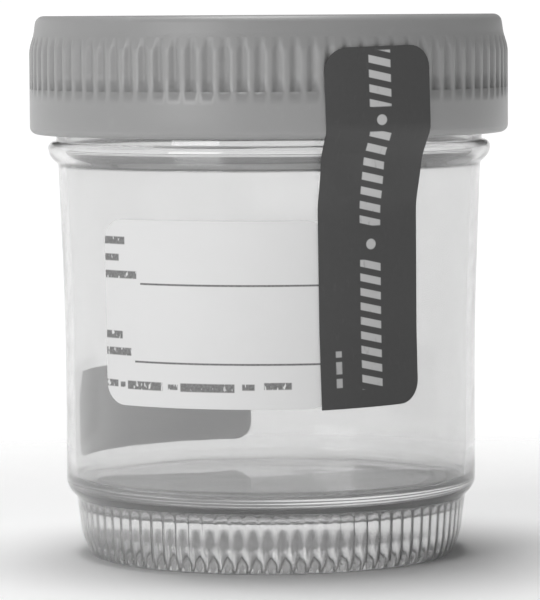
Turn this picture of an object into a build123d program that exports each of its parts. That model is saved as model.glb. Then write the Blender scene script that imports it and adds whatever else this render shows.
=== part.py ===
from build123d import *
import os
from math import cos, degrees, radians, sin

# Specimen container: clear moulded cup, ribbed screw cap with a liner, two labels and a tamper seal.
# Millimetres, +Z up. The origin is the centre of the foot on the table, and the patient label faces -Y.
# Angles are in degrees from +X. Offsets run round the wall, to the right of someone who faces the front.
front_angle = -90
back_angle = 90

# Cup wall and floor
cup_height = 70.4
wall = 1.1
wall_draft = 0.8
draft_depth = 21.4
floor_height = 10.2
floor_thickness = 1.3

# Foot ring under the floor, open below
ring_drop = 2.2
shoulder_rise = 1.4
ring_inset = 1.35
ring_draft = 0.65
ring_wall = 1.8
foot_edge_width = 1.2
foot_edge_height = 2.6

# Upright ribs inside the foot ring
foot_rib_count = 80
foot_rib_depth = 0.7
foot_rib_width = 0.9
foot_rib_clear = 1.2

# Screw neck and the transfer bead below it
neck_radius = 29.05
neck_wall = 1.1
neck_length = 13.9
bead_stand_out = 1.1
bead_depth = 1.9
bead_bevel = 0.65
bead_cone_depth = 1.2
bead_cone_width = 1.35

# Screw cap
thread_room = 1.95
cap_wall = 1.6
panel_thickness = 1.5
recess_depth = 0.6
recess_rim = 4.25
recess_slope = 0.8
skirt_gap = 1.0
skirt_bevel = 0.7
top_bevel = 0.8
shoulder_inset_top = 0.95
shoulder_inset_low = 0.6
shoulder_depth = 2.5
rib_run_in = 2.0

# Grip ribs round the cap
grip_count = 90
grip_depth = 0.55
grip_band = 7.4
groove_width = 1.3

# Liner inside the top of the cap
liner_thickness = 1.0
liner_side_gap = 0.3

# Paper labels on the cup
paper_thickness = 0.12
glue_line = 0.03
label_corner_round = 3.0
label_width = 32.8
label_lift = 12.0
label_top_gap = 6.6
label_offset = -8.1
rear_label_width = 37.2
rear_label_height = 11.9
rear_label_lift = 2.3
rear_label_offset = -21.5
rear_corner_round = 2.2

# Tamper seal strip, from the cap down over the bead to the cup
seal_thickness = 0.15
seal_width = 14.5
seal_angle = -62.8
seal_tilt = 1.6
seal_top_margin = 4.1
seal_landing = 5.9
seal_corner_round = 3.0
seal_bead_gap = 0.08
tear_drop = 0.2

# Heights and radii that follow from the sizes above
floor_underside = floor_height - floor_thickness
bead_top = cup_height - neck_length
bead_underside = bead_top - bead_depth
wall_top = bead_underside - bead_cone_depth
draft_start = wall_top - draft_depth
ring_height = floor_height - ring_drop
neck_bore_radius = neck_radius - neck_wall
bead_radius = neck_radius + bead_stand_out
wall_radius_high = bead_radius - bead_cone_width
wall_radius_low = wall_radius_high - wall_draft
ring_radius_high = wall_radius_low - ring_inset
ring_radius_low = ring_radius_high - ring_draft
ring_bore_radius = ring_radius_low - ring_wall
foot_contact_radius = ring_radius_low - foot_edge_width
cap_bottom = bead_top + skirt_gap
cap_underside = cup_height + liner_thickness
cap_top = cap_underside + panel_thickness + recess_depth
cap_bore_radius = neck_radius + thread_room
skirt_radius = cap_bore_radius + cap_wall
grip_root_radius = skirt_radius - grip_depth
shoulder_radius_low = skirt_radius - shoulder_inset_low
shoulder_radius_top = skirt_radius - shoulder_inset_top
recess_radius = shoulder_radius_top - recess_rim
grip_high = cap_top - shoulder_depth
grip_low = grip_high - grip_band
liner_radius = cap_bore_radius - liner_side_gap
label_low = floor_height + label_lift
label_high = wall_top - label_top_gap
rear_label_low = floor_height + rear_label_lift
rear_label_high = rear_label_low + rear_label_height
seal_high = cap_top - seal_top_margin
tear_height = cap_bottom - tear_drop


def wall_radius_at(height):
    """Outside radius of the cup's wall: straight below the start of its draft, wider above it."""
    share = max(0, height - draft_start) / draft_depth
    return wall_radius_low + wall_draft * share


def outward_plane(angle, height=0):
    """Plane through the axis that faces outwards, angle degrees round from +X, with its y up."""
    turn = radians(angle)
    return Plane((0, 0, height), x_dir=(-sin(turn), cos(turn), 0), z_dir=(cos(turn), sin(turn), 0))


def corner_near(sketch, radius, height):
    """The corner of a half-section that lies nearest to a radius and a height."""
    return sketch.vertices().sort_by_distance((radius, height, 0))[0]


# Cup: one half-section turned about the axis, then the ribs inside its foot ring
with BuildPart() as container:
    with BuildSketch(Plane.XZ) as cup_section:
        with BuildLine():
            Polyline(
                (0, floor_underside),
                (0, floor_height),
                (wall_radius_low - wall, floor_height),
                (wall_radius_low - wall, draft_start),
                (neck_bore_radius, bead_top),
                (neck_bore_radius, cup_height),
                (neck_radius, cup_height),
                (neck_radius, bead_top),
                (bead_radius, bead_top),
                (bead_radius, bead_underside),
                (wall_radius_high, wall_top),
                (wall_radius_low, draft_start),
                (wall_radius_low, ring_height + shoulder_rise),
                (ring_radius_high, ring_height),
                (ring_radius_low, foot_edge_height),
                (foot_contact_radius, 0),
                (ring_bore_radius, 0),
                (ring_bore_radius, floor_underside),
                (0, floor_underside),
            )
        make_face()
        chamfer(corner_near(cup_section, bead_radius, bead_top), bead_bevel)
    revolve(axis=Axis.Z)
    with BuildSketch(Plane.XY.offset(foot_rib_clear)):
        with PolarLocations(0, foot_rib_count):
            Polygon(
                (ring_bore_radius - foot_rib_depth, 0),
                (ring_bore_radius + foot_rib_depth, -foot_rib_width),
                (ring_bore_radius + foot_rib_depth, foot_rib_width),
                align=None,
            )
    extrude(amount=floor_underside - foot_rib_clear)
container.part.label = "container"


# Screw cap: turned body, then the grooves that leave the grip ribs standing
with BuildPart() as screw_cap:
    with BuildSketch(Plane.XZ) as cap_section:
        with BuildLine():
            Polyline(
                (0, cap_underside),
                (0, cap_top - recess_depth),
                (recess_radius, cap_top - recess_depth),
                (recess_radius + recess_slope, cap_top),
                (shoulder_radius_top, cap_top),
                (shoulder_radius_low, grip_high),
                (skirt_radius, grip_high - rib_run_in),
                (skirt_radius, cap_bottom),
                (cap_bore_radius, cap_bottom),
                (cap_bore_radius, cap_underside),
                (0, cap_underside),
            )
        make_face()
        chamfer(corner_near(cap_section, shoulder_radius_top, cap_top), top_bevel)
        chamfer(corner_near(cap_section, skirt_radius, cap_bottom), skirt_bevel)
    revolve(axis=Axis.Z)
    with BuildSketch(Plane.XY.offset(grip_low)):
        with PolarLocations(0, grip_count):
            Polygon(
                (grip_root_radius, 0),
                (skirt_radius + grip_depth, -groove_width),
                (skirt_radius + grip_depth, groove_width),
                align=None,
            )
    extrude(amount=grip_band, mode=Mode.SUBTRACT)
screw_cap.part.label = "screw_cap"


# Liner: the soft disc that the cap presses on the rim
with BuildPart() as sealing_liner:
    with BuildSketch(Plane.XY.offset(cup_height)):
        Circle(liner_radius)
    extrude(amount=liner_thickness)
sealing_liner.part.label = "sealing_liner"


def paper_outline(plane, width, height, corner_round, square_corners=0, tilt=0):
    """Outline of a piece of paper on a plane that faces outwards, rounded but for corners at its lower left."""
    with BuildSketch(plane) as outline:
        Rectangle(width, height, rotation=tilt)
        corners = outline.vertices().sort_by_distance((-width / 2, -height / 2, 0))
        fillet(corners[square_corners:], corner_round)
    return outline.sketch


def wall_label(width, low, high, middle_angle, corner_round):
    """Paper glued round the cup's wall between two heights, centred on an angle from +X."""
    with BuildPart() as label:
        with BuildSketch(Plane.XZ):
            with BuildLine():
                Polyline(
                    (wall_radius_high + glue_line, wall_top),
                    (wall_radius_low + glue_line, draft_start),
                    (wall_radius_low + glue_line, floor_height),
                )
                offset(amount=paper_thickness, side=Side.LEFT, kind=Kind.INTERSECTION)
            make_face()
        revolve(axis=Axis.Z)
        near_high = wall_radius_at(high) + glue_line
        chord = 2 * near_high * sin(width / (2 * near_high))
        plane = outward_plane(middle_angle, (low + high) / 2)
        outline = paper_outline(plane, chord, high - low, corner_round)
        extrude(outline, amount=2 * skirt_radius, mode=Mode.INTERSECT)
    return label.part


label_angle = front_angle + degrees(label_offset / wall_radius_low)
patient_label = wall_label(label_width, label_low, label_high, label_angle, label_corner_round)
patient_label.label = "patient_label"
rear_label_angle = back_angle - degrees(rear_label_offset / wall_radius_low)
rear_label = wall_label(
    rear_label_width, rear_label_low, rear_label_high, rear_label_angle, rear_corner_round
)
rear_label.label = "rear_label"


def seal_strip(keep):
    """One half of the tamper seal strip: the half above or the half below its tear line."""
    standoff = 2 * glue_line + paper_thickness
    on_cap = skirt_radius + glue_line
    on_bead = bead_radius + seal_bead_gap
    landing = bead_underside - seal_landing
    with BuildPart() as strip:
        with BuildSketch(Plane.XZ):
            with BuildLine():
                Polyline(
                    (on_cap, cap_top),
                    (on_cap, cap_bottom + skirt_bevel),
                    (on_bead, bead_underside),
                    (wall_radius_at(landing) + standoff, landing),
                    (wall_radius_low + standoff, draft_start),
                    (wall_radius_low + standoff, floor_height),
                )
                offset(amount=seal_thickness, side=Side.LEFT, kind=Kind.INTERSECTION)
            make_face()
        revolve(axis=Axis.Z)
        plane = outward_plane(seal_angle, (seal_high + label_low) / 2)
        seal_length = seal_high - label_low
        outline = paper_outline(plane, seal_width, seal_length, seal_corner_round, 1, seal_tilt)
        extrude(outline, amount=2 * skirt_radius, mode=Mode.INTERSECT)
        split(bisect_by=Plane.XY.offset(tear_height), keep=keep)
    return strip.part


seal_strip_upper = seal_strip(Keep.TOP)
seal_strip_upper.label = "seal_strip_upper"
seal_strip_lower = seal_strip(Keep.BOTTOM)
seal_strip_lower.label = "seal_strip_lower"

# One STEP file for each piece
os.makedirs("parts", exist_ok=True)
export_step(container.part, "parts/container.step")
export_step(screw_cap.part, "parts/screw_cap.step")
export_step(sealing_liner.part, "parts/sealing_liner.step")
export_step(patient_label, "parts/patient_label.step")
export_step(rear_label, "parts/rear_label.step")
export_step(seal_strip_upper, "parts/seal_strip_upper.step")
export_step(seal_strip_lower, "parts/seal_strip_lower.step")
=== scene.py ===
from math import asin, atan2, cos, pi, radians, sin, tau

import bmesh
import bpy
from mathutils import Matrix, Vector


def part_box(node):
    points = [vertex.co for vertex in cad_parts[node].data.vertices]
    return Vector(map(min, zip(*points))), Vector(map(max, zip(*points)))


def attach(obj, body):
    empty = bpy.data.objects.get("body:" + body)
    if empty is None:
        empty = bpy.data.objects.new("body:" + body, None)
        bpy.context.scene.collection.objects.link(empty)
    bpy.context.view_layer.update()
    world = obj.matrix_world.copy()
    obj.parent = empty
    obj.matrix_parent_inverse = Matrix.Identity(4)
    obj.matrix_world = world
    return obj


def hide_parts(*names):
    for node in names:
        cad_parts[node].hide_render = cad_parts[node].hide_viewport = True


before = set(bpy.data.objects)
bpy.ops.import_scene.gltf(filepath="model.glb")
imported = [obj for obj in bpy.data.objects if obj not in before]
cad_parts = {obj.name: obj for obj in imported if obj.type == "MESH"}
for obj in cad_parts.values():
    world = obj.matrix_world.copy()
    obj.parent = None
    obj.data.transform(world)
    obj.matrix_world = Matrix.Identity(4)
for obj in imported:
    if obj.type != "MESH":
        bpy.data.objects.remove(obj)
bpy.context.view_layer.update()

# Specimen container: looks of the clear cup, the ribbed cap, the labels and the tamper seal.
# Metres, +Z up, with the front towards -Y. Angles are from +X, as in the solids.
mm = 0.001
front = radians(-90)
back = pi / 2

# Sizes read from the solids
cup_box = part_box("container")
cap_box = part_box("screw_cap")
liner_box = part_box("sealing_liner")
rim_height = cup_box[1].z
bead_radius = cup_box[1].x
cap_bottom = cap_box[0].z
cap_top = cap_box[1].z
cap_radius = cap_box[1].x
cap_underside = liner_box[1].z

# Skins of the mouldings: the longest run without a cut, the parts of a round, and how near
# points are when they count as one or lie on a cut or a bore
longest_run = 2.5 * mm
round_segments = 5
same_point = 1e-6
on_cut = 1e-7
near_bore = 0.02 * mm

# Cup wall, neck and bead
wall = 1.1 * mm
neck_length = 13.9 * mm
bead_stand_out = 1.1 * mm
bead_depth = 1.9 * mm
bead_cone_depth = 1.2 * mm
bead_cone_width = 1.35 * mm
draft_depth = 21.4 * mm
wall_draft = 0.8 * mm
bead_top = rim_height - neck_length
bead_underside = bead_top - bead_depth
wall_top = bead_underside - bead_cone_depth
draft_start = wall_top - draft_depth
neck_radius = bead_radius - bead_stand_out
neck_bore = neck_radius - wall
wall_radius_high = bead_radius - bead_cone_width
wall_radius_low = wall_radius_high - wall_draft
wall_bore = wall_radius_low - wall

# Floor and foot ring
floor_height = 10.2 * mm
floor_thickness = 1.3 * mm
ring_drop = 2.2 * mm
shoulder_rise = 1.4 * mm
ring_inset = 1.35 * mm
ring_draft = 0.65 * mm
ring_wall = 1.8 * mm
foot_edge_width = 1.2 * mm
foot_edge_height = 2.6 * mm
floor_underside = floor_height - floor_thickness
ring_height = floor_height - ring_drop
shoulder_height = ring_height + shoulder_rise
ring_radius_high = wall_radius_low - ring_inset
ring_radius_low = ring_radius_high - ring_draft
ring_bore = ring_radius_low - ring_wall
foot_contact = ring_radius_low - foot_edge_width

# Upright ribs inside the foot ring: the points within a share of the spacing make the crest
foot_rib_count = 80
foot_rib_steps = 4
foot_rib_depth = 0.5 * mm
foot_rib_start = 1.2 * mm
foot_rib_run_in = 0.3 * mm
foot_rib_crest = 0.1

# Rounds of the cup
foot_inner_round = 0.15 * mm
foot_outer_round = 0.3 * mm
foot_edge_round = 1.4 * mm
ring_round = 0.35 * mm
shoulder_round = 0.9 * mm
draft_round = 8 * mm
wall_top_round = 0.3 * mm
bead_round = 0.9 * mm
neck_root_round = 0.15 * mm
rim_round = 0.4 * mm
neck_bore_round = 1.5 * mm
floor_round = 1.2 * mm

# Cap
cap_wall = 1.6 * mm
recess_depth = 0.6 * mm
recess_radius = 27.4 * mm
recess_edge = 28.2 * mm
cone_inset_top = 0.95 * mm
cone_inset_low = 0.6 * mm
cone_depth = 2.5 * mm
grip_band = 7.4 * mm
cap_bore = cap_radius - cap_wall
recess_floor = cap_top - recess_depth
cone_radius_top = cap_radius - cone_inset_top
cone_radius_low = cap_radius - cone_inset_low
grip_high = cap_top - cone_depth
grip_low = grip_high - grip_band

# Grip ribs of the cap, and the grooves between them
grip_count = 90
grip_steps = 8
grip_depth = 0.45 * mm
rib_run_in = 2.0 * mm
groove_end = 0.02 * mm
groove_flat = 0.1 * mm
groove_reach = 0.85 * mm

# Rounds of the cap
recess_round = 0.3 * mm
cap_edge_round = 1.0 * mm
cone_round = 0.4 * mm
run_in_round = 0.6 * mm
lip_round = 0.3 * mm
cap_inner_round = 0.4 * mm

# Threads: the lead is the rise of the cap in one turn
thread_lead = 6.4 * mm
thread_turns = 1.25
thread_starts = 2
thread_steps = 150
thread_lift = 4.2 * mm
thread_sunk = 0.15 * mm
neck_thread_depth = 1.15 * mm
cap_thread_depth = 1.2 * mm
thread_half_root = 0.65 * mm
thread_half_crest = 0.3 * mm

# Papers
paper_thickness = 0.12 * mm
paper_cell = 0.75 * mm
paper_round_segments = 8
glue_line = 0.03 * mm
crisp_angle = radians(40)

# Write-on label in front
label_width = 32.8 * mm
label_lift = 12.0 * mm
label_top_gap = 6.6 * mm
label_offset = 8.1 * mm
label_corner_round = 3.0 * mm
label_low = floor_height + label_lift
label_high = wall_top - label_top_gap
label_angle = front - label_offset / wall_radius_low

# Label low on the back, its paper painted grey as shade
rear_width = 37.2 * mm
rear_height = 11.9 * mm
rear_lift = 2.3 * mm
rear_offset = 21.5 * mm
rear_corner_round = 2.2 * mm
rear_low = floor_height + rear_lift
rear_high = rear_low + rear_height
rear_angle = back + rear_offset / wall_radius_low

# Tamper seal
seal_thickness = 0.13 * mm
seal_width = 14.5 * mm
seal_angle = radians(-62.8)
seal_tilt = radians(1.6)
seal_top_margin = 4.1 * mm
seal_corner_round = 3.0 * mm
seal_clear = 0.05 * mm
seal_lift = 0.18 * mm
seal_bead_gap = 0.12 * mm
seal_bead_rise = 0.5 * mm
seal_skirt_rise = 0.9 * mm
seal_landing = 5.9 * mm
seal_high = cap_top - seal_top_margin
tear_drop = 0.2 * mm
tear_height = cap_bottom - tear_drop

# The seal widens a little between two heights
seal_widening = 0.05
widening_low = 50 * mm
widening_high = 60 * mm

# The seal's bends are soft over a reach, and it is wavy where it leaves the wall for the bead
bend_reach = 0.7 * mm
bend_samples = 7
wave_height = 0.12 * mm
wave_across = 0.9
wave_up = 0.5
wave_start = (46 * mm, 52 * mm)
wave_end = (56 * mm, 58 * mm)

# Plastic, and the softness of printed edges in millimetres
plastic_ior = 1.49
mark_soft = 0.09
line_soft = 0.05
seal_mark_soft = 0.1

# Sockets of a Mix node that mixes colours
mix_share = 0
mix_first = 6
mix_second = 7
mix_result = 2


def wall_radius_at(height):
    """Outside radius of the cup's wall at a height."""
    share = max(0.0, height - draft_start) / (wall_top - draft_start)
    return wall_radius_low + (wall_radius_high - wall_radius_low) * share


def blend_between(low, high, position):
    """0 below low, 1 above high, and a smooth rise between them."""
    share = min(1.0, max(0.0, (position - low) / (high - low)))
    return share * share * (3 - 2 * share)


def new_object(name, bm, material):
    """Makes an object of a bmesh, with its material."""
    mesh = bpy.data.meshes.new(name)
    bm.to_mesh(mesh)
    bm.free()
    mesh.materials.append(material)
    made = bpy.data.objects.new(name, mesh)
    bpy.context.scene.collection.objects.link(made)
    return made


def new_piece(name, bm, material, body, replaced=()):
    """Makes a smooth piece that rides on a body and stands for some of the solids."""
    piece = new_object(name, bm, material)
    for polygon in piece.data.polygons:
        polygon.use_smooth = True
    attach(piece, body)
    if replaced:
        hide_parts(*replaced)
    return piece


def round_corner(bm, vert, size, segments):
    """Rounds a corner of a wire or of a flat sheet."""
    bmesh.ops.bevel(
        bm,
        geom=[vert],
        offset=size,
        offset_type="OFFSET",
        segments=segments,
        profile=0.5,
        affect="VERTICES",
        material=-1,
    )


def section(corners):
    """Wire of a half-section with corners (radius, height, round), its long runs cut up."""
    bm = bmesh.new()
    chain = [bm.verts.new((radius, 0, height)) for radius, height, _ in corners]
    for start, end in zip(chain, chain[1:]):
        bm.edges.new((start, end))
    for vert, (_, _, rounding) in zip(chain, corners):
        if rounding:
            round_corner(bm, vert, rounding, round_segments)
    for edge in list(bm.edges):
        cuts = int(edge.calc_length() / longest_run)
        if cuts:
            bmesh.ops.subdivide_edges(bm, edges=[edge], cuts=cuts)
    return bm


def turned(bm, sectors, steps):
    """Turns a section's wire about the axis into a closed skin: one sector in steps, then its copies."""
    bmesh.ops.spin(
        bm,
        geom=bm.verts[:] + bm.edges[:],
        cent=(0, 0, 0),
        axis=(0, 0, 1),
        angle=tau / sectors,
        steps=steps,
    )
    bmesh.ops.spin(
        bm,
        geom=bm.verts[:] + bm.edges[:] + bm.faces[:],
        cent=(0, 0, 0),
        axis=(0, 0, 1),
        angle=tau * (sectors - 1) / sectors,
        steps=sectors - 1,
        use_duplicate=True,
    )
    bmesh.ops.remove_doubles(bm, verts=bm.verts[:], dist=same_point)
    bmesh.ops.recalc_face_normals(bm, faces=bm.faces[:])
    return bm


def phase_of(vert, count):
    """Where a point lies within one of count equal shares of a turn, from -0.5 to 0.5."""
    turns = atan2(vert.co.y, vert.co.x) / tau * count
    return turns - round(turns)


# Materials
class Value:
    """A number on its way through a material, with the arithmetic that masks are written in."""

    def __init__(self, recipe, socket):
        self.recipe = recipe
        self.socket = socket

    def _math(self, operation, first, second=None):
        values = [first] if second is None else [first, second]
        return self.recipe.node("ShaderNodeMath", {"operation": operation}, dict(enumerate(values)))

    def __add__(self, other):
        return self._math("ADD", self, other)

    __radd__ = __add__

    def __sub__(self, other):
        return self._math("SUBTRACT", self, other)

    def __rsub__(self, other):
        return self._math("SUBTRACT", other, self)

    def __mul__(self, other):
        return self._math("MULTIPLY", self, other)

    __rmul__ = __mul__

    def high(self, other):
        return self._math("MAXIMUM", self, other)

    def root(self):
        return self._math("SQRT", self)


class Recipe:
    """A material's nodes."""

    def __init__(self, name):
        self.material = bpy.data.materials.new(name)
        self.material.use_nodes = True
        self.tree = self.material.node_tree
        self.tree.nodes.clear()

    def node(self, kind, settings=None, inputs=None, output=0):
        """Adds a node with its settings and then its inputs, and gives one of its outputs."""
        made = self.tree.nodes.new(kind)
        for key, value in (settings or {}).items():
            setattr(made, key, value)
        for key, value in (inputs or {}).items():
            if isinstance(value, Value):
                self.tree.links.new(value.socket, made.inputs[key])
            else:
                made.inputs[key].default_value = value
        return Value(self, made.outputs[output] if made.outputs else None)

    def place(self):
        """The point on the piece, in metres."""
        return self.node("ShaderNodeTexCoord", output="Object")

    def flat(self):
        """The point on the flat paper, in millimetres."""
        return self.node("ShaderNodeUVMap", {"uv_map": "flat"})

    def parts(self, vector):
        """The three numbers of a vector."""
        split = self.node("ShaderNodeSeparateXYZ", inputs={0: vector}).socket.node
        return [Value(self, split.outputs[i]) for i in range(3)]

    def stretched(self, vector, scale):
        """A vector with each part scaled."""
        return self.node("ShaderNodeVectorMath", {"operation": "MULTIPLY"}, {0: vector, 1: scale})

    def noise(self, vector, scale, detail=3.0):
        """Cloudy noise around 0.5."""
        inputs = {"Vector": vector, "Scale": scale, "Detail": detail}
        return self.node("ShaderNodeTexNoise", inputs=inputs, output="Fac")

    def spread(self, value, low, high):
        """A smooth rise from 0 to 1 between two limits, or a fall where the first is the higher one."""
        inputs = {"Value": value, "From Min": low, "From Max": high}
        return self.node("ShaderNodeMapRange", {"interpolation_type": "SMOOTHSTEP"}, inputs)

    def band(self, value, low, high, soft):
        """1 between two limits and 0 outside them, with soft edges."""
        rise = self.spread(value, low - soft, low + soft)
        fall = self.spread(value, high + soft, high - soft)
        return rise * fall

    def mix(self, share, first, second):
        """A colour between two colours, or past the second where the share is above 1."""
        settings = {"data_type": "RGBA", "clamp_factor": False}
        inputs = {mix_share: share, mix_first: first, mix_second: second}
        return self.node("ShaderNodeMix", settings, inputs, output=mix_result)

    def bump(self, height, strength, distance):
        """A normal from a height."""
        inputs = {"Height": height, "Strength": strength, "Distance": distance}
        return self.node("ShaderNodeBump", inputs=inputs)

    def surface(self, inputs):
        """A principled surface."""
        return self.node("ShaderNodeBsdfPrincipled", inputs=inputs)

    def finish(self, shader):
        """Ends the material with its surface."""
        self.node("ShaderNodeOutputMaterial", inputs={"Surface": shader})
        return self.material


class Sky(Recipe):
    """The studio round the object, as light by direction."""

    def __init__(self, name):
        self.world = bpy.data.worlds.new(name)
        self.world.use_nodes = True
        self.tree = self.world.node_tree
        self.tree.nodes.clear()

    def finish(self, light):
        """Ends the world with its light."""
        background = self.node("ShaderNodeBackground", inputs={"Color": light})
        self.node("ShaderNodeOutputWorld", inputs={"Surface": background})
        return self.world


def grey(value):
    """A neutral colour."""
    return (value, value, value, 1.0)


def clear_plastic():
    """Clear moulded plastic with a faint haze, fine scuffs and a slight ripple."""
    recipe = Recipe("clear_plastic")
    place = recipe.place()
    cloud = recipe.noise(place, 90, detail=4)
    streaks = recipe.noise(recipe.stretched(place, (1, 1, 0.25)), 900, detail=2)
    scuff = recipe.spread(streaks, 0.6, 0.75)
    ripple = recipe.noise(place, 160, detail=1)
    clear = recipe.surface(
        {
            "Base Color": recipe.mix(cloud, grey(0.93), grey(0.955)),
            "Roughness": 0.02 + 0.035 * cloud + 0.04 * scuff,
            "IOR": plastic_ior,
            "Transmission Weight": 1.0,
            "Normal": recipe.bump(ripple, strength=0.08, distance=0.3 * mm),
        }
    )
    haze = recipe.surface({"Base Color": grey(0.9), "Roughness": 0.6, "IOR": plastic_ior})
    haze_share = 0.09 + 0.08 * cloud
    veil = recipe.node("ShaderNodeMixShader", inputs={0: haze_share, 1: clear, 2: haze})
    return recipe.finish(veil)


def cap_plastic():
    """Satin moulded plastic, a little paler where hands rub the ribs."""
    recipe = Recipe("cap_plastic")
    place = recipe.place()
    across, along, _ = recipe.parts(place)
    radius = (across * across + along * along).root()
    rubbed = recipe.spread(radius, cap_radius - 0.12 * mm, cap_radius)
    cloud = recipe.noise(place, 60, detail=4)
    speck = recipe.noise(place, 2600, detail=2)
    dust = recipe.spread(recipe.noise(place, 420, detail=3), 0.62, 0.8)
    tone = recipe.mix(0.35 * rubbed + 0.25 * dust, grey(0.3), grey(0.36))
    return recipe.finish(
        recipe.surface(
            {
                "Base Color": recipe.mix(0.4 * cloud, tone, grey(0.26)),
                "Roughness": 0.36 + 0.14 * cloud - 0.08 * rubbed + 0.1 * dust,
                "IOR": plastic_ior,
                "Subsurface Weight": 0.5,
                "Subsurface Radius": (1.0, 1.0, 1.0),
                "Subsurface Scale": 1.5 * mm,
                "Normal": recipe.bump(speck + cloud, strength=0.25, distance=0.05 * mm),
            }
        )
    )


def foam():
    """White closed-cell foam."""
    recipe = Recipe("liner_foam")
    place = recipe.place()
    cells = recipe.node("ShaderNodeTexVoronoi", inputs={"Vector": place, "Scale": 2600.0})
    cloud = recipe.noise(place, 150)
    return recipe.finish(
        recipe.surface(
            {
                "Base Color": recipe.mix(cloud, grey(0.78), grey(0.88)),
                "Roughness": 0.75 + 0.2 * cells,
                "Normal": recipe.bump(cells, strength=0.3, distance=0.15 * mm),
            }
        )
    )


def ink(recipe, across, up, bars, soft):
    """Mask of printed bars, each (left, right, low, high) in millimetres on the flat paper."""
    mask = 0.0
    for left, right, low, high in bars:
        wide = recipe.band(across, left, right, soft)
        tall = recipe.band(up, low, high, soft)
        mask = (wide * tall).high(mask)
    return mask


def label_paper():
    """White write-on paper with plain marks, two writing lines and a row of small marks."""
    recipe = Recipe("label_paper")
    across, up, _ = recipe.parts(recipe.flat())
    place = recipe.place()
    fibre = recipe.noise(recipe.stretched(place, (1, 1, 2.2)), 1900, detail=5)
    cloud = recipe.noise(place, 70, detail=3)
    ragged = recipe.noise(recipe.flat(), 3.2, detail=2)
    short_marks = [
        (-16.0, -12.2, 43.5, 44.5),
        (-16.0, -13.2, 41.3, 42.2),
        (-16.0, -10.4, 39.0, 40.0),
        (-15.8, -12.8, 31.0, 32.0),
        (-15.8, -11.4, 28.8, 29.8),
    ]
    small_row = [
        (-15.6, -13.6, 24.6, 25.5),
        (-13.2, -12.4, 24.6, 25.3),
        (-12.0, -6.6, 24.4, 25.5),
        (-5.8, -4.4, 24.6, 25.3),
        (-4.0, 3.4, 24.4, 25.5),
        (4.4, 6.0, 24.7, 25.5),
        (7.2, 10.6, 24.8, 25.7),
    ]
    writing_lines = [
        (-9.8, 14.0, 38.25, 38.5),
        (-10.8, 14.2, 27.95, 28.2),
    ]
    breaks = recipe.noise(recipe.stretched(recipe.flat(), (2.6, 0.9, 1)), 1.0, detail=1)
    marks = ink(recipe, across, up, short_marks + small_row, mark_soft) * recipe.spread(breaks, 0.3, 0.42)
    lines = ink(recipe, across, up, writing_lines, line_soft)
    printed = (marks * 0.8).high(lines * 0.85) * (0.75 + 0.4 * ragged)
    white = recipe.mix(cloud, grey(0.7), grey(0.74))
    return recipe.finish(
        recipe.surface(
            {
                "Base Color": recipe.mix(printed, white, grey(0.03)),
                "Roughness": 0.5 + 0.25 * fibre,
                "Normal": recipe.bump(fibre, strength=0.25, distance=0.04 * mm),
            }
        )
    )


def rear_paper_painted_shade():
    """Plain label paper in mid grey: painted shade, for a label that lies in shade on the far wall."""
    recipe = Recipe("rear_paper_painted_shade")
    place = recipe.place()
    fibre = recipe.noise(place, 1700, detail=5)
    cloud = recipe.noise(place, 120, detail=3)
    return recipe.finish(
        recipe.surface(
            {
                # Mid grey paper: painted shade for a label that lies in shade behind the clear wall
                "Base Color": recipe.mix(cloud, grey(0.54), grey(0.6)),
                "Roughness": 0.55 + 0.2 * fibre,
                "Normal": recipe.bump(fibre, strength=0.25, distance=0.04 * mm),
            }
        )
    )


def seal_paper():
    """Dark coated paper with a column of plain pale marks, a faint scuff and paper fibre."""
    recipe = Recipe("seal_paper")
    across, up, _ = recipe.parts(recipe.flat())
    place = recipe.place()
    fibre = recipe.noise(place, 1500, detail=5)
    rubs = recipe.noise(recipe.stretched(recipe.flat(), (1, 0.35, 1)), 1.3, detail=5)
    scuff = recipe.spread(rubs, 0.58, 0.8)
    bar_runs = [(61.6, 68.9), (46.0, 58.4), (24.6, 41.6)]
    dot_heights = [59.9, 43.6]
    small_marks = [
        (-5.2, -4.4, 25.0, 26.2),
        (-5.2, -4.4, 26.8, 28.4),
        (-5.2, -4.4, 29.0, 29.8),
    ]
    runs = 0.0
    for low, high in bar_runs:
        runs = recipe.band(up, low, high, seal_mark_soft).high(runs)
    slant = across * 0.25 + up
    half_pitch = 0.95
    pitch = recipe.node("ShaderNodeMath", {"operation": "PINGPONG"}, {0: slant, 1: half_pitch})
    bars = recipe.spread(pitch, 0.38, 0.52)
    column = recipe.band(across, -1.6, 1.4, seal_mark_soft)
    dots = 0.0
    for height in dot_heights:
        aside = across * across + (up - height) * (up - height)
        dots = recipe.spread(aside, 0.6, 0.35).high(dots)
    small = ink(recipe, across, up, small_marks, mark_soft)
    printed = (runs * bars * column).high(dots).high(small * 0.8) * (1 - 0.5 * scuff)
    dark = recipe.mix(0.5 * scuff + 0.3 * fibre, grey(0.045), grey(0.085))
    return recipe.finish(
        recipe.surface(
            {
                "Base Color": recipe.mix(printed, dark, grey(0.5)),
                "Roughness": 0.5 + 0.2 * scuff + 0.1 * fibre,
                "Normal": recipe.bump(fibre + scuff, strength=0.2, distance=0.05 * mm),
            }
        )
    )


clear = clear_plastic()
opaque = cap_plastic()
liner_foam = foam()


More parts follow.
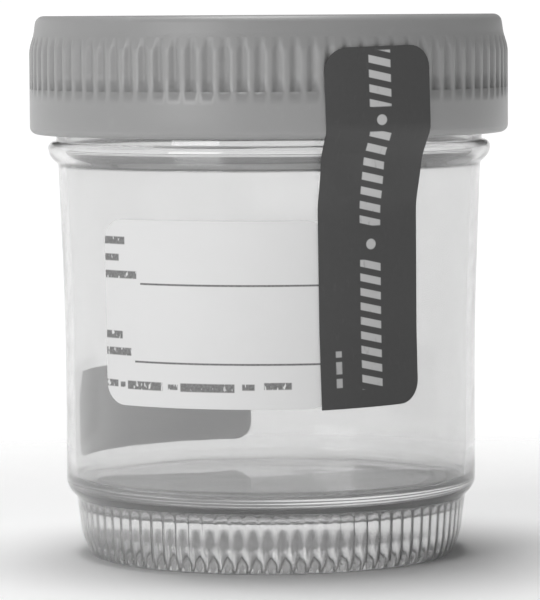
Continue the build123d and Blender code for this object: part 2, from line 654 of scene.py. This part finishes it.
# Cup
def make_cup():
    """The moulded cup, one closed skin with its ribbed foot ring."""
    corners = [
        (0, floor_underside, 0),
        (ring_bore, floor_underside, 0),
        (ring_bore, foot_rib_start + foot_rib_run_in, 0),
        (ring_bore, foot_rib_start, 0),
        (ring_bore, 0, foot_inner_round),
        (foot_contact, 0, foot_outer_round),
        (ring_radius_low, foot_edge_height, foot_edge_round),
        (ring_radius_high, ring_height, ring_round),
        (wall_radius_low, shoulder_height, shoulder_round),
        (wall_radius_low, draft_start, draft_round),
        (wall_radius_high, wall_top, wall_top_round),
        (bead_radius, bead_underside, bead_round),
        (bead_radius, bead_top, bead_round),
        (neck_radius, bead_top, neck_root_round),
        (neck_radius, rim_height, rim_round),
        (neck_bore, rim_height, rim_round),
        (neck_bore, bead_top, neck_bore_round),
        (wall_bore, draft_start, draft_round),
        (wall_bore, floor_height, floor_round),
        (0, floor_height, 0),
    ]
    bm = turned(section(corners), foot_rib_count, foot_rib_steps)
    crest = ring_bore - foot_rib_depth
    above_start = foot_rib_start + foot_rib_run_in / 3
    for vert in bm.verts:
        on_bore = abs(vert.co.xy.length - ring_bore) < near_bore
        on_crest = abs(phase_of(vert, foot_rib_count)) < foot_rib_crest
        if on_bore and on_crest and vert.co.z > above_start:
            vert.co.xy *= crest / ring_bore
    return new_piece("cup", bm, clear, "cup", ["container"])


# Cap
def make_cap():
    """The screw cap, one closed skin with its grip ribs."""
    corners = [
        (0, recess_floor, 0),
        (recess_radius, recess_floor, recess_round),
        (recess_edge, cap_top, recess_round),
        (cone_radius_top, cap_top, cap_edge_round),
        (cone_radius_low, grip_high, cone_round),
        (cap_radius, grip_high - rib_run_in, run_in_round),
        (cap_radius, grip_low + groove_end, 0),
        (cap_radius, grip_low, 0),
        (cap_radius, cap_bottom, cap_edge_round),
        (cap_bore, cap_bottom, lip_round),
        (cap_bore, cap_underside, cap_inner_round),
        (0, cap_underside, 0),
    ]
    bm = turned(section(corners), grip_count, grip_steps)
    for vert in bm.verts:
        radius = vert.co.xy.length
        if vert.co.z > grip_low + groove_end / 2 and radius > cap_radius - 2 * grip_depth:
            aside = abs(phase_of(vert, grip_count)) * tau * cap_radius / grip_count
            depth = grip_depth * (1 - blend_between(groove_flat, groove_reach, aside))
            vert.co.xy *= min(radius, cap_radius - depth) / radius
    return new_piece("cap", bm, opaque, "cap", ["screw_cap"])


# Threads
def make_thread(name, root, crest, low, start_angle, material, body, slot):
    """One start of a screw thread: a ridge with sloping flanks that falls away at both ends."""
    bm = bmesh.new()
    outline = [
        (root, -thread_half_root),
        (crest, -thread_half_crest),
        (crest, thread_half_crest),
        (root, thread_half_root),
    ]
    face = bm.faces.new([bm.verts.new((radius, 0, low + height)) for radius, height in outline])
    bmesh.ops.rotate(bm, verts=bm.verts[:], matrix=Matrix.Rotation(start_angle, 3, "Z"))
    bmesh.ops.spin(
        bm,
        geom=[face],
        cent=(0, 0, 0),
        axis=(0, 0, 1),
        dvec=(0, 0, thread_lead * thread_turns / thread_steps),
        angle=tau * thread_turns,
        steps=thread_steps,
    )
    flush = 0.02
    full = 0.3
    lowest_share = 0.05
    for vert in bm.verts:
        run = (vert.co.z - low) / thread_lead * tau
        started = blend_between(flush, full, run + full)
        unfinished = blend_between(flush, full, tau * thread_turns - run)
        share = max(lowest_share, started * unfinished)
        radius = vert.co.xy.length
        vert.co.xy *= (root + (radius - root) * share) / radius
    bmesh.ops.recalc_face_normals(bm, faces=bm.faces[:])
    new_piece(name, bm, material, body)


def make_threads():
    """Two starts on the neck, and two in the cap that lie midway between them."""
    low = bead_top + thread_lift
    on_neck = (neck_radius - thread_sunk, neck_radius + neck_thread_depth, low)
    midway = low + thread_lead / (2 * thread_starts)
    in_cap = (cap_bore + thread_sunk, cap_bore - cap_thread_depth, midway)
    for start in range(thread_starts):
        angle = tau * start / thread_starts
        make_thread(f"neck_thread_{start + 1}", *on_neck, angle, clear, "cup", "clear_plastic")
        make_thread(f"cap_thread_{start + 1}", *in_cap, angle, opaque, "cap", "cap_plastic")


# Papers
def cut_all(bm, place, across):
    """Cuts a flat sheet through a place."""
    bmesh.ops.bisect_plane(
        bm,
        geom=bm.verts[:] + bm.edges[:] + bm.faces[:],
        plane_co=place,
        plane_no=across,
        dist=on_cut,
    )


def flat_paper(width, low, high, rounded, corner_round, tilt, first_row):
    """A flat sheet seen from outside, some corners rounded, then tilted and cut into cells.

    Corners are counted from the lower left, first to the right. A row of cells starts at first_row.
    """
    bm = bmesh.new()
    corners = [(-1, low), (1, low), (1, high), (-1, high)]
    verts = [bm.verts.new((side * width / 2, 0, height)) for side, height in corners]
    bm.faces.new(verts)
    for index in rounded:
        round_corner(bm, verts[index], corner_round, paper_round_segments)
    flat = bm.loops.layers.uv.new("flat")
    for face in bm.faces:
        for loop in face.loops:
            loop[flat].uv = (loop.vert.co.x / mm, loop.vert.co.z / mm)
    middle = (0, 0, (low + high) / 2)
    bmesh.ops.rotate(bm, cent=middle, verts=bm.verts[:], matrix=Matrix.Rotation(-tilt, 3, "Y"))
    for index in range(int(width / paper_cell)):
        cut_all(bm, ((index + 0.5) * paper_cell - width / 2, 0, 0), (1, 0, 0))
    below = int((first_row - low) / paper_cell)
    above = int((high - first_row) / paper_cell)
    for index in range(-below, above + 1):
        cut_all(bm, (0, 0, first_row + index * paper_cell), (0, 0, 1))
    return bm


def wrapped(bm, angle, radius_at, thickness):
    """Bends a flat sheet round the axis and gives it its thickness outwards."""
    for vert in bm.verts:
        radius = radius_at(vert.co.x, vert.co.z)
        turn = angle + asin(vert.co.x / radius)
        vert.co.xy = (radius * cos(turn), radius * sin(turn))
    thick = bmesh.ops.extrude_face_region(bm, geom=bm.faces[:])
    for part in thick["geom"]:
        if isinstance(part, bmesh.types.BMVert):
            part.co.xy *= 1 + thickness / part.co.xy.length
    bmesh.ops.recalc_face_normals(bm, faces=bm.faces[:])
    return bm


def new_paper(name, bm, material, body, node):
    """Makes a piece of paper, its cut edges kept crisp."""
    piece = new_piece(name, bm, material, body, [node])
    piece.data.set_sharp_from_angle(angle=crisp_angle)


def label_radius(across, height):
    """Inside of a label glued to the wall."""
    return wall_radius_at(height) + glue_line


def label_sheet(width, low, high, angle, corner_round, first_row):
    """A label on the wall, its width measured round the wall at its upper edge."""
    near = label_radius(0, high)
    chord = 2 * near * sin(width / (2 * near))
    bm = flat_paper(chord, low, high, (0, 1, 2, 3), corner_round, 0, first_row)
    return wrapped(bm, angle, label_radius, paper_thickness)


def make_labels():
    """The write-on label in front and the plain one low on the back, whose paper is painted grey as shade.
    """
    sheet = label_sheet(
        label_width, label_low, label_high, label_angle, label_corner_round, draft_start
    )
    new_paper("front_label", sheet, label_paper(), "cup", "patient_label")
    sheet = label_sheet(rear_width, rear_low, rear_high, rear_angle, rear_corner_round, rear_low)
    new_paper("back_label", sheet, rear_paper_painted_shade(), "cup", "rear_label")


def radius_between(stops, level):
    """Radius at a level on a line of stops that runs downwards."""
    for (high, far), (low, near) in zip(stops, stops[1:]):
        if level >= low:
            share = min(1.0, (level - low) / (high - low))
            return near + (far - near) * share
    return stops[-1][1]


def seal_radius(across, height):
    """Inside of the seal strip: on the cap's side, over the bead and down to the wall, with soft bends."""
    landing = bead_underside - seal_landing
    stops = [
        (cap_top, cap_radius + glue_line),
        (cap_bottom + seal_skirt_rise, cap_radius + glue_line),
        (bead_underside + seal_bead_rise, bead_radius + seal_bead_gap),
        (landing, wall_radius_at(landing) + seal_lift),
        (draft_start, wall_radius_low + seal_lift),
        (0, wall_radius_low + seal_lift),
    ]
    total = 0.0
    for index in range(bend_samples):
        level = height + bend_reach * (2 * index / (bend_samples - 1) - 1)
        total += radius_between(stops, level)
    waved = blend_between(*wave_start, height) * (1 - blend_between(*wave_end, height))
    wave = wave_height * waved * (1 + sin(across / mm * wave_across + height / mm * wave_up))
    return total / bend_samples + wave + seal_clear


def make_seal():
    """The tamper seal in its two halves, which meet at the tear line under the cap."""
    halves = [
        ("seal_on_cap", "cap", "seal_strip_upper"),
        ("seal_on_cup", "cup", "seal_strip_lower"),
    ]
    paper_look = seal_paper()
    for name, body, node in halves:
        bm = flat_paper(
            seal_width, label_low, seal_high, (1, 2, 3), seal_corner_round, seal_tilt, tear_height
        )
        for vert in bm.verts:
            widened = blend_between(widening_low, widening_high, vert.co.z)
            vert.co.x *= 1 + seal_widening * widened
        above = [face for face in bm.faces if face.calc_center_median().z > tear_height]
        below = [face for face in bm.faces if face.calc_center_median().z <= tear_height]
        bmesh.ops.delete(bm, geom=below if body == "cap" else above, context="FACES")
        wrapped(bm, seal_angle, seal_radius, seal_thickness)
        new_paper(name, bm, paper_look, body, node)


make_cup()
make_cap()
make_threads()
make_labels()
make_seal()
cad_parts["sealing_liner"].data.materials.clear()
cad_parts["sealing_liner"].data.materials.append(liner_foam)


# Floor, light and camera
def make_floor():
    """A pale round floor that the cup stands on. It fades out well before its edge, so it shows greyer
    near the cup than the white beyond: a painted shade round the foot.
    """
    floor_radius = 0.2
    painted_shade_start = 0.055
    painted_shade_end = 0.95 * floor_radius
    bm = bmesh.new()
    bmesh.ops.create_circle(bm, cap_ends=True, segments=128, radius=floor_radius)
    recipe = Recipe("pale_floor")
    cloud = recipe.noise(recipe.place(), 20)
    across, along, _ = recipe.parts(recipe.place())
    # Alpha fade from the grey floor near the cup to the white beyond: painted shade round the foot
    painted_shade_fade = recipe.spread((across * across + along * along).root(), painted_shade_start, painted_shade_end)
    looks = {
        "Base Color": recipe.mix(cloud, grey(0.94), grey(0.96)),
        "Roughness": 0.9,
        "Alpha": 1 - painted_shade_fade,
    }
    floor = new_object("floor", bm, recipe.finish(recipe.surface(looks)))


def make_lamp(name, place, target, size, power):
    """A soft square lamp that looks at a point."""
    lamp = bpy.data.lights.new(name, "AREA")
    lamp.shape = "SQUARE"
    lamp.size = size
    lamp.energy = power
    holder = bpy.data.objects.new(name, lamp)
    holder.location = place
    holder.rotation_euler = (Vector(target) - Vector(place)).to_track_quat("-Z", "Y").to_euler()
    bpy.context.scene.collection.objects.link(holder)


def make_camera():
    """The camera of the photograph: far off, level with the cap's top, looking down a little."""
    distance = 0.540
    focal_pixels = 3950.0
    long_side_pixels = 600.0
    pitch = radians(4.13)
    roll = radians(-0.35)
    camera = bpy.data.cameras.new("camera")
    camera.sensor_width = 36.0
    camera.lens = focal_pixels / long_side_pixels * camera.sensor_width
    camera.clip_start = 0.01
    camera.clip_end = 100.0
    holder = bpy.data.objects.new("camera", camera)
    holder.matrix_world = (
        Matrix.Translation((0.0, -distance, cap_top))
        @ Matrix.Rotation(pi / 2 - pitch, 4, "X")
        @ Matrix.Rotation(roll, 4, "Z")
    )
    bpy.context.scene.collection.objects.link(holder)
    bpy.context.scene.camera = holder


def studio():
    """White near the horizon, dimmer higher up and to the right, with a dark card behind and above."""
    horizon_level = 1.04
    dimmed_high = 0.94
    dimmed_right = 0.5
    dimmed_card = 0.8
    card_slope = 1.6
    sky = Sky("studio")
    across, along, up = sky.parts(sky.node("ShaderNodeTexCoord", output="Generated"))
    high = sky.spread(up, 0.12, 0.4)
    right = sky.spread(across, 0.25, 0.8) * sky.spread(up, -0.02, 0.05)
    card = sky.spread(across + card_slope * up, 0.176, 0.186) * sky.spread(up, 0.08, 0.09)
    card = card * sky.spread(up, 0.3, 0.25) * sky.spread(along, 0.5, 0.6)
    level = (horizon_level - dimmed_high * high) * (1 - dimmed_right * right) * (1 - dimmed_card * card)
    return sky.finish(sky.mix(level, grey(0.0), grey(1.0)))


make_floor()
make_lamp("overhead", place=(-0.05, 0.1, 1.0), target=(0, 0, 0), size=0.45, power=7.6)
make_lamp("front_left", place=(-0.9, -1.1, 0.45), target=(0, 0, 0.04), size=0.7, power=8)
make_camera()
bpy.context.scene.world = studio()
bpy.context.scene.view_settings.view_transform = "Standard"

bpy.context.view_layer.update()
